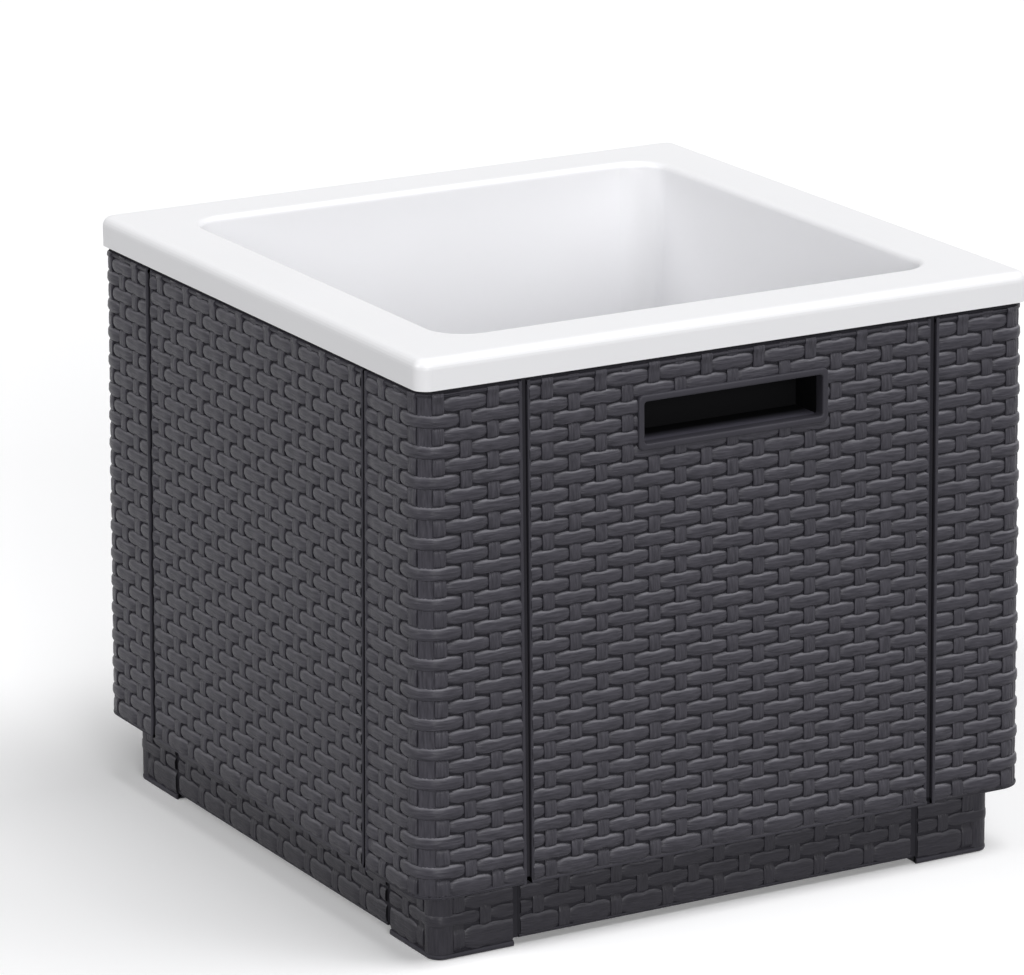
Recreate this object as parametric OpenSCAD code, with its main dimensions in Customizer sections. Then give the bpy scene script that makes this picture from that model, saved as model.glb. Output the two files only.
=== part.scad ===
// Cooler stool: a square outdoor stool with moulded woven walls round an insulated lift-out tub.
// The front wall faces -Y, the origin is on the floor under the middle, and all sizes are in mm.

/* [Body] */
// Width across two opposite walls, at the top of the weave
body_w = 414; // [406:1:430]
// Height from the floor to the top of the rim
body_h = 365; // [358:1:380]
// How far each wall leans out between its top and its bottom
wall_flare = 3.3; // [0:0.1:5]
// Corner radius of the walls at the top
corner_r = 15; // [13:0.5:20]
// Depth of the woven layer of a wall, in front of its sheet
skin_t = 3.6; // [3.2:0.1:4.5]
// Thickness of the plain sheet behind the weave
sheet_t = 2.8; // [2:0.1:3.4]

/* [Weave] */
// Height of one course of the weave
course_pitch = 8.94; // [8:0.01:12]
// Distance between two stakes, which the courses pass over and under in turn
stake_pitch = 17.7; // [16:0.1:20]
// Width of a stake
stake_w = 7.6; // [5:0.1:9]
// Depth of the valley between two courses, behind the crown of a stake
weave_d = 2; // [1:0.1:2.2]
// How far the plain hems lie behind the crowns of the courses
hem_set = 0.4; // [0:0.1:1]
// Height of the plain hem under the lowest course
hem_h = 2.73; // [1.5:0.01:5]

/* [Seams] */
// Width of a wall panel between the middles of its two seams
panel_w = 277.4; // [255:0.2:290]
// Width of the open groove at a seam
seam_gap = 3.6; // [2:0.1:5]
// Width of the plain border along a seam
seam_bead = 2.2; // [1.5:0.1:4]
// How far a panel's tongue reaches into a corner post
tongue_l = 9.5; // [6:0.5:12]
// Thickness of the corner post's lip behind the tongue
slot_back_t = 2.6; // [2:0.1:3]
// Clearance round every tongue, lap and slot
fit = 0.2; // [0.1:0.05:0.3]

/* [Plinth] */
// Height of the recessed plinth
plinth_h = 43.5; // [38:0.5:46]
// How far the plinth lies behind the foot of the walls
plinth_inset = 15.8; // [14:0.1:20]
// Corner radius of the plinth
plinth_corner_r = 9; // [8:0.5:12]
// Thickness of the plinth's wall
plinth_t = 4; // [3.6:0.1:5]
// Gap under the skirt between the corner feet
skirt_gap = 4.8; // [3:0.1:8]
// Thickness of the ledge between wall and plinth
ledge_t = 3; // [2.5:0.1:4]
// Number of courses on the plinth
plinth_courses = 3; // [2:1:3]

/* [Base] */
// Height of the floor pan's underside
pan_z = 18; // [14:0.5:20]
// Thickness of the floor pan
pan_t = 4; // [3:0.1:5]
// Depth of the ribs under the floor pan
pan_rib_h = 8; // [4:0.5:9]
// Distance between two ribs of the floor pan
pan_rib_pitch = 62; // [55:1:80]
// Diameter of a base screw's shank
screw_d = 4; // [3:0.1:5]
// Length of a base screw below its head
screw_l = 20; // [14:0.5:24]
// Diameter of a base screw's head
screw_head_d = 8; // [7:0.1:9]
// Distance of a base screw from the sides of its foot
screw_inset = 12; // [10:0.5:16]
// Diameter of a screw boss in a corner post
boss_d = 11; // [9:0.5:14]

/* [Tub] */
// Height of the skirt that hangs round the rim
rim_h = 18.4; // [15:0.1:22]
// Shadow gap between the rim's skirt and the weave
rim_gap = 1.8; // [1:0.1:3]
// Thickness of the rim's top
rim_t = 3.2; // [2.5:0.1:4]
// Thickness of the rim's skirt
rim_skirt_t = 3; // [2:0.1:3.2]
// Radius of the rim's outer edge
rim_edge_r = 6; // [3:0.5:8]
// Corner radius of the rim and of its skirt
rim_corner_r = 9; // [8.5:0.5:14]
// Width of the rim's band, from the opening to the outer edge
rim_band = 42; // [40:0.5:46]
// How far each wall of the tub leans in between the rim and the floor
tub_draft = 10; // [6:0.5:12]
// Corner radius of the opening
tub_corner_r = 22; // [20:0.5:28]
// Thickness of the tub's walls and floor
tub_t = 3; // [2.4:0.1:3.6]
// Radius of the tub's inner edge at the rim
mouth_r = 4; // [2:0.5:6]
// Radius between the tub's floor and its walls
floor_r = 5; // [4:0.5:8]
// Thickness of a rib under the rim
rim_rib_t = 2.5; // [2:0.1:4]
// Distance between the two ribs under each side of the rim
rim_rib_pitch = 110; // [80:1:130]

/* [Hand grips] */
// Width of a grip's opening
grip_w = 121; // [100:1:140]
// Height of a grip's opening
grip_h = 25; // [22:0.5:28]
// Corner radius of a grip's opening
grip_r = 2; // [1:0.5:6]
// Width of the raised frame round a grip
grip_frame = 4; // [3:0.1:5]
// Corner radius of the frame round a grip
grip_frame_r = 3.5; // [2:0.5:8]
// How far the frame stands out from the weave
grip_proud = 1; // [0.5:0.1:2]
// Distance of a grip's middle below the top of the rim
grip_drop = 56; // [54:0.5:70]
// Depth of the finger pocket behind the weave
pocket_d = 29; // [20:0.5:30]
// How far the pocket rises behind the upper edge, for the fingertips
pocket_rise = 11; // [6:0.5:12]
// Wall of the grip cup
cup_t = 2; // [1.5:0.1:2.5]
// Diameter of the pegs that hold a grip cup
peg_d = 4; // [3:0.1:5]

/* [Insulation] */
// Gap between the foam and what it lies against
foam_gap = 0.5; // [0.3:0.1:1]
// Thickness of the foam slab between the floor pan and the tub
base_foam_t = 24.3; // [22:0.1:34]
// Distance of the top of the foam walls below the top of the rim
foam_drop = 31; // [28:1:50]

/* [Drain] */
// Diameter of the sump in the tub's floor
sump_d = 64; // [56:1:80]
// Depth of the sump
sump_h = 4; // [3:0.1:5]
// Outer diameter of the spigot
spigot_d = 27; // [24:0.5:30]
// Bore of the spigot
bore_d = 20.4; // [18:0.2:22]
// Diameter of the spigot's flange
flange_d = 50; // [46:1:54]
// Thickness of the spigot's flange
flange_t = 2.5; // [2:0.1:3]
// Height of the spigot's lower end above the floor
spigot_clear = 9; // [6:0.5:14]
// Thickness of the gasket under the tub
gasket_t = 2; // [1.5:0.1:3]
// Size of the nut across its flats
nut_af = 40; // [36:0.5:44]
// Height of the nut
nut_h = 8; // [6:0.5:9]
// Diameter of the plug's body
plug_d = 18.8; // [17:0.1:18.8]
// Length of the plug's body
plug_l = 13; // [10:0.5:16]
// Diameter of the plug's head
plug_head_d = 31; // [28:0.5:36]
// Thickness of the plug's seal
seal_d = 2.6; // [2:0.1:3]

/* [Hidden] */
$fn = 48;

graphite = "#47454c";
dark_graphite = "#2f2e33";
white_plastic = "#f1f0f4";
foam_white = "#e6e9e4";
rubber = "#26262a";
steel = "#a9adb3";
play = 0.3;
seat_gap = 0.1;
overlap = 1;

// Heights, and the places of the walls: the corners' arcs share one centre from top to bottom
half_w = body_w / 2;
arc_c = half_w - corner_r;
wall_top = body_h - rim_h - rim_gap;
wall_t = skin_t + sheet_t;
ledge_top = plinth_h + ledge_t;
lip_top = body_h - rim_t - play;
lip_chamfer = 1.2;
post_t = wall_t + fit + slot_back_t;
panel_edge = panel_w / 2 - seam_gap / 2;
post_edge = panel_w / 2 + seam_gap / 2;
slot_end = post_edge + tongue_l + play;
slot_end_t = 2;

// Distance of a wall's crowns from the arc centre, at one height
function face(z) = corner_r + wall_flare * (wall_top - z) / (wall_top - plinth_h);
wall_angle = atan(wall_flare / (wall_top - plinth_h));

// One course seen from its end, as [share of the pitch, share of the depth]: the valley and the flat crown.
// A stake seen from its side where it passes over a course: it rises, lies flat and dives again.
course_shape = [[0, 1], [0.24, 0.22], [0.76, 0.22]];
stake_shape = [[0.03, 1.1], [0.2, 0], [0.8, 0], [0.97, 1.1]];
course_n = floor((wall_top - plinth_h - 2 * hem_h) / course_pitch);
course_z = plinth_h + hem_h;
course_top = course_z + course_n * course_pitch;
function course_points(z0, n) = [
    for (i = [0 : n - 1], p = course_shape)
        let (z = z0 + (i + p.x) * course_pitch) [z, p.y * weave_d]
];
function wall_point(z, depth) = [face(z) - depth, z];
wall_line = concat(
    [wall_point(plinth_h, hem_set), wall_point(course_z, hem_set)],
    [for (p = course_points(course_z, course_n)) wall_point(p.x, p.y)],
    [wall_point(course_top, weave_d), wall_point(course_top, hem_set), wall_point(wall_top, hem_set)]
);

// A stake shows over every second course, and over the other ones on the next stake
stake_cover = 1.1 * weave_d + overlap;
hem_knob = 0.6;
function stake_points(k) = [
    for (i = [0 : course_n - 1]) if ((i + k) % 2 != 0)
        for (p = stake_shape) wall_point(course_z + (i + p.x) * course_pitch, p.y * weave_d)
];

// The plinth, with its own arc centre and its courses hung from the ledge
plinth_half = half_w + wall_flare - plinth_inset;
plinth_c = plinth_half - plinth_corner_r;
plinth_in = plinth_half - plinth_t;
plinth_course_z = plinth_h - hem_h - plinth_courses * course_pitch;
lap_t = (plinth_t - fit) / 2;
lap_l = 6;
sole_t = skirt_gap - play - seat_gap;
plinth_line = concat(
    [[0, 0], [0, plinth_course_z]],
    [for (p = course_points(plinth_course_z, plinth_courses)) [p.y, p.x]],
    [[weave_d, plinth_h - hem_h], [0, plinth_h - hem_h], [0, plinth_h]]
);
function plinth_face(r, z0) = [for (p = plinth_line) [r - min(p.x, lap_t / 2), max(p.y, z0)]];

// Base
pan_top = pan_z + pan_t;
screw_u = post_edge + screw_inset;
screw_v = plinth_in - screw_inset;
screw_head_h = 2.6;
screw_head_edge = 1.4;
pan_rib_t = 2.5;
drain_hole_d = spigot_d + 9;
drain_collar_t = 4;

// Tub: its opening follows the walls, and its floor lies on the foam slab
tub_w = body_w - 2 * rim_band;
tub_c = tub_w / 2 - tub_corner_r;
tub_under = pan_top + base_foam_t + 2 * foam_gap;
tub_floor = tub_under + tub_t;
tub_depth = body_h - tub_floor;
tub_floor_r = tub_corner_r - tub_draft;
tub_slope = tub_draft / tub_depth;
function tub_in(z) = tub_floor_r + tub_slope * (z - tub_floor);
function tub_out(z) = tub_in(z) + tub_t;
skirt_z = body_h - rim_h;
rib_foot_z = body_h - foam_drop + 8;
rib_clear = 2;
rib_tip_h = 8;
rim_c = half_w - rim_corner_r;
sump_z = tub_floor - sump_h;
sump_under = sump_z - tub_t;

// Hand grips: a place on the wall is given along it, up it and out of it, from the middle of the grip
grip_z = body_h - grip_drop;
cup_flange_w = grip_w + 24;
cup_flange_over = 4.5;
cup_flange_t = 2.4;
cup_roof = grip_h / 2 + pocket_rise;
cup_roof_fall = 2;
cup_ledge_rise = 0.5;
peg_u = grip_w / 2 + 7;
peg_v = grip_h / 2;
peg_l = 5;

// Drain
flange_top = sump_z + flange_t;
nut_z = sump_under - gasket_t - nut_h;
plug_head_t = 3;
plug_grip_w = 24;
plug_grip_t = 4;
seal_z = flange_top - plug_l * 0.6;
seal_r = bore_d / 2 - seat_gap - seal_d / 2;

// Points of a round stretch, from one angle to another
function arc(cx, cy, r, a0, a1, n = 6) = [
    for (i = [0 : n]) let (a = a0 + (a1 - a0) * i / n) [cx + r * cos(a), cy + r * sin(a)]
];

// Flat square with rounded corners, from half its width
module rounded_square(half, r) {
    square([2 * half, 2 * (half - r)], center = true);
    square([2 * (half - r), 2 * half], center = true);
    for (x = [-1, 1], y = [-1, 1])
        translate([x * (half - r), y * (half - r)]) circle(r);
}

// Flat rectangle with rounded corners
module rounded_rect(w, h, r) {
    square([w, h - 2 * r], center = true);
    square([w - 2 * r, h], center = true);
    for (x = [-1, 1], y = [-1, 1])
        translate([x * (w / 2 - r), y * (h / 2 - r)]) circle(r);
}

// A profile carried along the +X wall, between two places along it
module wall_run(c, from, to) {
    translate([c, to, 0]) rotate([90, 0, 0]) linear_extrude(to - from) children();
}

// A profile carried round the +X +Y corner, with an arm along each wall
module corner_run(c, from) {
    wall_run(c, from, c) children();
    mirror([1, -1, 0]) wall_run(c, from, c) children();
    translate([c, c, 0]) rotate_extrude(angle = 90) children();
}

// Both arms of a corner, without the turn between them
module corner_arms(c, from, to) {
    wall_run(c, from, to) children();
    mirror([1, -1, 0]) wall_run(c, from, to) children();
}

// A solid square column: its side climbs the given points, each [distance out from the arc centre, height]
module column(c, side) {
    z0 = side[0].y;
    z1 = side[len(side) - 1].y;
    outline = concat([[0, z0]], side, [[0, z1]]);
    translate([-c, -c, z0]) cube([2 * c, 2 * c, z1 - z0]);
    for (a = [0 : 90 : 270]) rotate(a) {
        wall_run(c, -c, c) polygon(outline);
        translate([c, c, 0]) rotate_extrude(angle = 90) polygon(outline);
    }
}

// The part of a flat shape that lies in the +X +Y corner beyond the seams
module in_corner(z0, z1) {
    translate([0, 0, z0]) linear_extrude(z1 - z0) intersection() {
        children();
        translate([post_edge, post_edge]) square(half_w);
    }
}

// Moves to the middle of a grip on the +X wall: X along the wall, Y up it, Z out of it
module at_grip() {
    translate([arc_c + face(grip_z), 0, grip_z]) rotate([0, -wall_angle, 0]) rotate([90, 0, 90]) children();
}

// Outline of a wall from its woven face back to a given depth, up to the top of the weave
module wall_layer(depth) {
    polygon(concat(wall_line, [wall_point(wall_top, depth), wall_point(plinth_h, depth)]));
}

// Outline of stake number k from its visible stretches back into the wall, up to the upper hem
module stake_layer(k) {
    polygon(concat(stake_points(k), [
        wall_point(course_top, 1.1 * weave_d), wall_point(course_top + hem_knob, 0),
        wall_point(wall_top - hem_knob, 0), wall_point(wall_top - hem_knob, stake_cover),
        wall_point(course_z, stake_cover)
    ]));
}

// The plain border along a seam
module bead_layer() {
    polygon([
        wall_point(plinth_h, hem_set), wall_point(wall_top, hem_set),
        wall_point(wall_top, stake_cover), wall_point(plinth_h, stake_cover)
    ]);
}

// Stakes first to last along the +X wall
module stakes(first, last) {
    for (k = [first : last])
        wall_run(arc_c, k * stake_pitch - stake_w / 2, k * stake_pitch + stake_w / 2) stake_layer(abs(k));
}

// Outline of the sheet behind the weave, with the lip that stands up inside the rim
module sheet_layer(z0) {
    polygon([
        wall_point(z0, skin_t), wall_point(wall_top, skin_t),
        [corner_r - skin_t, lip_top - lip_chamfer], [corner_r - skin_t - lip_chamfer, lip_top],
        [corner_r - wall_t, lip_top], wall_point(wall_top, wall_t), wall_point(z0, wall_t)
    ]);
}

// The stakes of a corner post: on each arm, and one at each end of the turn between them
module post_stakes() {
    first = ceil((slot_end + slot_end_t + stake_w / 2) / stake_pitch);
    last = floor((arc_c - stake_w / 2) / stake_pitch);
    turn = 180 * stake_w / corner_r / PI;
    for (m = [0, 1]) mirror([m, -m, 0]) {
        stakes(first, last);
        translate([arc_c, arc_c, 0]) rotate_extrude(angle = turn) stake_layer(last + 1);
    }
}

// A corner post: woven skin, slots for two panels, ledge plate, foot and two screw bosses
module corner_post() color(graphite) {
    post_stakes();
    corner_arms(arc_c, post_edge, post_edge + seam_bead) bead_layer();
    corner_run(arc_c, slot_end) wall_layer(skin_t + overlap);
    corner_run(arc_c, slot_end) sheet_layer(plinth_h);
    corner_arms(arc_c, post_edge, slot_end + slot_end_t) wall_layer(skin_t - fit);
    corner_arms(arc_c, slot_end, slot_end + slot_end_t) wall_layer(post_t);
    corner_arms(arc_c, post_edge, slot_end + slot_end_t) polygon([
        wall_point(plinth_h, wall_t + fit), wall_point(wall_top, wall_t + fit),
        wall_point(wall_top, post_t), wall_point(plinth_h, post_t)
    ]);
    ledge_half = arc_c + face(ledge_top) - stake_cover;
    in_corner(plinth_h, ledge_top) rounded_square(ledge_half, ledge_half - arc_c);
    in_corner(0, sole_t) rounded_square(plinth_half, plinth_corner_r);
    lap_room = post_edge + lap_l + play;
    corner_run(plinth_c, lap_room) plinth_wall(plinth_corner_r, plinth_t, 0, ledge_top);
    corner_arms(plinth_c, post_edge, lap_room + overlap) plinth_wall(plinth_corner_r, lap_t, 0, ledge_top);
    for (p = [[screw_u, screw_v], [screw_v, screw_u]]) translate([p.x, p.y, pan_top + seat_gap])
        difference() {
            cylinder(h = ledge_top - pan_top - seat_gap, d = boss_d);
            translate([0, 0, -overlap]) cylinder(h = screw_l - pan_t + 2 * overlap, d = screw_d + fit);
        }
}

// Outline of the plinth's wall, from its woven face back to a given depth
module plinth_wall(r, depth, z0, z1) {
    polygon(concat(plinth_face(r, z0), [[r, z1], [r - depth, z1], [r - depth, z0]]));
}

// A wall panel on the +X side: weave, sheet with its two tongues, ledge and skirt
module wall_panel() {
    plinth_r = plinth_half - arc_c;
    side_stakes = floor((panel_edge - seam_bead - stake_w / 2) / stake_pitch);
    stakes(-side_stakes, side_stakes);
    for (end = [-panel_edge, panel_edge - seam_bead]) wall_run(arc_c, end, end + seam_bead) bead_layer();
    wall_run(arc_c, -panel_edge, panel_edge) union() {
        wall_layer(skin_t);
        sheet_layer(plinth_h);
        polygon([
            [plinth_r - plinth_t, plinth_h], wall_point(plinth_h, skin_t),
            wall_point(ledge_top, skin_t), [plinth_r - plinth_t, ledge_top]
        ]);
        plinth_wall(plinth_r, plinth_t, skirt_gap, ledge_top);
    }
    tongue_end = post_edge + tongue_l;
    wall_run(arc_c, -tongue_end, tongue_end) sheet_layer(ledge_top + play);
    lap_end = post_edge + lap_l;
    lap_top = plinth_h - play;
    translate([plinth_in, -lap_end, skirt_gap]) cube([lap_t, 2 * lap_end, lap_top - skirt_gap]);
}

// A wall panel with its hand grip: a raised frame, the opening and the pegs for the cup
module grip_panel() color(graphite) {
    difference() {
        union() {
            wall_panel();
            at_grip() translate([0, 0, -wall_t]) linear_extrude(wall_t + grip_proud)
                rounded_rect(grip_w + 2 * grip_frame, grip_h + 2 * grip_frame, grip_frame_r);
        }
        at_grip() translate([0, 0, -wall_t - overlap]) linear_extrude(wall_t + grip_proud + 2 * overlap)
            rounded_rect(grip_w, grip_h, grip_r);
    }
    at_grip() for (u = [-peg_u, peg_u], v = [-peg_v, peg_v])
        translate([u, v, -wall_t - peg_l]) cylinder(h = peg_l + overlap, d = peg_d);
}

// The cup behind a grip: a flange on the sheet and a pocket that rises behind the opening's upper edge
module grip_cup() color(dark_graphite) at_grip() {
    front = -wall_t - seat_gap;
    back = -pocket_d;
    low = -grip_h / 2;
    high = grip_h / 2;
    roof_back = cup_roof - cup_roof_fall;
    pocket = [
        [front + overlap, low], [front + overlap, high],
        [front - cup_flange_t, high], [front - 2 * cup_flange_t, cup_roof],
        [back, roof_back], [back, low + cup_ledge_rise]
    ];
    shell = [
        [front - cup_flange_t / 2, low - cup_t], [front - cup_flange_t / 2, cup_roof + cup_t],
        [front - 2 * cup_flange_t, cup_roof + cup_t], [back - cup_t, roof_back + cup_t],
        [back - cup_t, low + cup_ledge_rise - cup_t]
    ];
    flange_low = low - cup_flange_over;
    flange_high = cup_roof + cup_t;
    difference() {
        union() {
            cup_section(grip_w + 2 * cup_t) polygon(shell);
            translate([-cup_flange_w / 2, flange_low, front - cup_flange_t])
                cube([cup_flange_w, flange_high - flange_low, cup_flange_t]);
        }
        cup_section(grip_w) polygon(pocket);
        for (u = [-peg_u, peg_u], v = [-peg_v, peg_v])
            translate([u, v, front - cup_flange_t - overlap])
                cylinder(h = cup_flange_t + 2 * overlap, d = peg_d + 2 * fit);
    }
}

// An outline drawn as [out of the wall, up it], carried along the wall
module cup_section(w) {
    rotate([0, -90, 0]) linear_extrude(w, center = true) children();
}

// The pan that closes the bottom, with ribs, screw holes and the drain's hole
module floor_pan() color(graphite) {
    half = plinth_in - play;
    rib_z = pan_z - pan_rib_h;
    rib_span = 2 * half - 2 * plinth_corner_r;
    n = floor(half / pan_rib_pitch);
    difference() {
        union() {
            translate([0, 0, pan_z]) linear_extrude(pan_t) rounded_square(half, plinth_corner_r - plinth_t);
            for (i = [-n + 1 : n - 1], a = [0, 90]) rotate(a)
                translate([i * pan_rib_pitch - pan_rib_t / 2, -rib_span / 2, rib_z])
                    cube([pan_rib_t, rib_span, pan_rib_h + overlap]);
            translate([0, 0, rib_z]) cylinder(h = pan_rib_h + overlap, d = drain_hole_d + 2 * drain_collar_t);
        }
        translate([0, 0, rib_z - overlap]) cylinder(h = pan_rib_h + pan_t + 2 * overlap, d = drain_hole_d);
        at_screws() translate([0, 0, pan_z - overlap])
            cylinder(h = pan_t + 2 * overlap, d = screw_d + 2 * fit);
    }
}

// The eight places of the base screws
module at_screws() {
    for (a = [0 : 90 : 270]) rotate(a) {
        translate([screw_u, screw_v, 0]) children();
        translate([screw_v, screw_u, 0]) children();
    }
}

// Eight pan-head screws that hold the floor pan to the corner posts
module base_screws() color(steel) at_screws() {
    translate([0, 0, pan_z - screw_head_h]) rotate_extrude() polygon(concat(
        [[0, 0]],
        arc(screw_head_d / 2 - screw_head_edge, screw_head_edge, screw_head_edge, -90, 0, 4),
        [
            [screw_head_d / 2, screw_head_h], [screw_d / 2, screw_head_h],
            [screw_d / 2, screw_head_h + screw_l - screw_d / 2], [0, screw_head_h + screw_l]
        ]
    ));
}

// The foam slab under the tub, cut away at the corner posts and round the drain
module foam_base() color(foam_white) {
    z0 = pan_top + foam_gap;
    z1 = tub_under - foam_gap;
    half = plinth_in - foam_gap;
    notch = post_edge - foam_gap;
    difference() {
        translate([0, 0, z0]) linear_extrude(z1 - z0) difference() {
            square(2 * half, center = true);
            for (a = [0 : 90 : 270]) rotate(a) translate([notch, notch]) square(half);
        }
        translate([0, 0, z0 - overlap])
            cylinder(h = z1 - z0 + 2 * overlap, d = nut_af / cos(30) + 4 * foam_gap);
        translate([0, 0, sump_under - foam_gap])
            cylinder(h = z1 - sump_under + foam_gap + overlap, d = sump_d + 2 * tub_t + 2 * foam_gap);
    }
}

// A foam wall on the +X side: it leans with the tub and with the weave, and its ends are mitred
module foam_wall() {
    z0 = tub_under;
    z1 = body_h - foam_drop;
    depth = post_t + foam_gap;
    reach = arc_c - 2;
    intersection() {
        rotate([90, 0, 0]) linear_extrude(2 * reach, center = true) polygon([
            [tub_c + tub_out(z0) + foam_gap, z0], [arc_c + face(z0) - depth, z0],
            [arc_c + face(z1) - depth, z1], [tub_c + tub_out(z1) + foam_gap, z1]
        ]);
        translate([0, 0, z0 - overlap]) linear_extrude(z1 - z0 + 2 * overlap)
            polygon([[foam_gap, 0], [half_w, half_w - foam_gap], [half_w, foam_gap - half_w]]);
    }
}

// A foam wall with the notch that takes a grip cup
module notched_foam_wall() {
    notch_w = cup_flange_w + 2 * foam_gap;
    notch_low = -grip_h / 2 - cup_flange_over - foam_gap;
    notch_back = -pocket_d - cup_t - foam_gap;
    difference() {
        foam_wall();
        at_grip() translate([-notch_w / 2, notch_low, notch_back]) cube([notch_w, body_h, -notch_back]);
    }
}

// The lift-out tub: one moulding with its rim, hanging skirt, tapered walls, sump and ribs under the rim
module inner_tub() color(white_plastic) {
    rim_side = concat(
        [[rim_corner_r, skirt_z], [rim_corner_r, body_h - rim_edge_r]],
        arc(rim_corner_r - rim_edge_r, body_h - rim_edge_r, rim_edge_r, 0, 90)
    );
    under_r = rim_corner_r - rim_skirt_t;
    under_z = body_h - rim_t;
    hollow_side = [[under_r, skirt_z - overlap], [under_r, under_z - 1], [under_r - 1, under_z]];
    out_side = concat(
        arc(tub_out(tub_under + floor_r + tub_t) - floor_r - tub_t, tub_under + floor_r + tub_t,
            floor_r + tub_t, -90, 0),
        [[tub_out(body_h - rim_t / 2), body_h - rim_t / 2]]
    );
    in_side = concat(
        arc(tub_in(tub_floor + floor_r) - floor_r, tub_floor + floor_r, floor_r, -90, 0),
        arc(tub_in(body_h) + mouth_r, body_h - mouth_r, mouth_r, 180, 90),
        [[tub_in(body_h) + mouth_r, body_h + overlap]]
    );
    difference() {
        union() {
            difference() {
                column(rim_c, rim_side);
                column(rim_c, hollow_side);
            }
            column(tub_c, out_side);
            for (a = [0 : 90 : 270], side = [-0.5, 0.5]) rotate(a) rim_rib(side * rim_rib_pitch);
            translate([0, 0, sump_under]) cylinder(h = sump_h + tub_t, d = sump_d + 2 * tub_t);
        }
        column(tub_c, in_side);
        translate([0, 0, sump_z]) cylinder(h = sump_h + overlap, d = sump_d);
        translate([0, 0, sump_under - overlap]) cylinder(h = tub_t + 2 * overlap, d = spigot_d + 2 * fit);
    }
}

// A rib under the rim, from the tub's wall out to the lip of the walls
module rim_rib(y) {
    root = tub_c + tub_in(rib_foot_z) + tub_t / 2;
    tip = half_w - post_t - rib_clear;
    top = body_h - rim_t / 2;
    translate([0, y + rim_rib_t / 2, 0]) rotate([90, 0, 0]) linear_extrude(rim_rib_t)
        polygon([[root, rib_foot_z], [tip, body_h - rim_t - rib_tip_h], [tip, top], [root, top]]);
}

// The flanged tube that drains the sump
module drain_spigot() color(white_plastic) translate([0, 0, spigot_clear]) {
    tube_l = flange_top - spigot_clear;
    flange_r = flange_d / 2;
    difference() {
        rotate_extrude() polygon([
            [0, 0], [spigot_d / 2, 0], [spigot_d / 2, tube_l - flange_t], [flange_r, tube_l - flange_t],
            [flange_r, tube_l - flange_t / 2], [flange_r - flange_t, tube_l], [0, tube_l]
        ]);
        translate([0, 0, -overlap]) cylinder(h = tube_l + 2 * overlap, d = bore_d);
    }
}

// The rubber ring between the tub and the nut
module drain_gasket() color(rubber) translate([0, 0, sump_under - gasket_t]) difference() {
    cylinder(h = gasket_t, d = nut_af);
    translate([0, 0, -overlap]) cylinder(h = gasket_t + 2 * overlap, d = spigot_d + 2 * fit);
}

// The nut that clamps the spigot from below
module drain_nut() color(white_plastic) translate([0, 0, nut_z]) difference() {
    cylinder(h = nut_h, d = nut_af / cos(30), $fn = 6);
    translate([0, 0, -overlap]) cylinder(h = nut_h + 2 * overlap, d = spigot_d + 2 * fit);
}

// The plug: a grooved body, a domed head and a finger grip across it
module drain_plug() color(white_plastic) {
    head_z = flange_top + seat_gap;
    groove_r = seal_r - seal_d / 2 - seat_gap;
    rotate_extrude() polygon(concat(
        [
            [0, head_z - plug_l], [plug_d / 2 - 1, head_z - plug_l], [plug_d / 2, head_z - plug_l + 1],
            [plug_d / 2, seal_z - seal_d / 2 - fit], [groove_r, seal_z - seal_d / 2 - fit],
            [groove_r, seal_z + seal_d / 2 + fit], [plug_d / 2, seal_z + seal_d / 2 + fit],
            [plug_d / 2, head_z]
        ],
        arc(plug_head_d / 2 - plug_head_t, head_z, plug_head_t, 0, 90),
        [[0, head_z + plug_head_t]]
    ));
    grip_foot = head_z + plug_head_t - seat_gap;
    translate([0, plug_grip_t / 2, grip_foot]) rotate([90, 0, 0]) linear_extrude(plug_grip_t)
        intersection() {
            circle(d = plug_grip_w);
            translate([-plug_grip_w / 2, 0]) square([plug_grip_w, plug_grip_w / 2]);
        }
}

// The ring that seals the plug in the spigot
module plug_seal() color(rubber) translate([0, 0, seal_z]) rotate_extrude()
    translate([seal_r, 0]) circle(d = seal_d, $fn = 24);

rotate(180) corner_post();  // corner_post_front_left
rotate(-90) corner_post();  // corner_post_front_right
rotate(90) corner_post();  // corner_post_back_left
corner_post();  // corner_post_back_right
rotate(-90) grip_panel();  // front_panel
rotate(90) grip_panel();  // back_panel
rotate(180) color(graphite) wall_panel();  // left_panel
color(graphite) wall_panel();  // right_panel
rotate(-90) grip_cup();  // front_grip_cup
rotate(90) grip_cup();  // back_grip_cup
floor_pan();
base_screws();
foam_base();
color(foam_white) rotate(-90) notched_foam_wall();  // foam_front
color(foam_white) rotate(90) notched_foam_wall();  // foam_back
color(foam_white) rotate(180) foam_wall();  // foam_left
color(foam_white) foam_wall();  // foam_right
inner_tub();
drain_spigot();
drain_gasket();
drain_nut();
drain_plug();
plug_seal();
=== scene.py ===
# %% [markdown]
# A cooler stool in Blender.
# The object is a square outdoor stool. Its walls are moulded to look like woven wicker, and inside them
# hangs a white insulated tub. The solid model came first and fixes every size. This lesson dresses it:
# the woven walls are built strand by strand, and every piece, the tub among them, gets its finish from a
# small recipe of shader nodes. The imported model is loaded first, because every piece sits on it.

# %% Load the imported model
import math

import bmesh
import bpy
from mathutils import Matrix, Vector, noise


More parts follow.
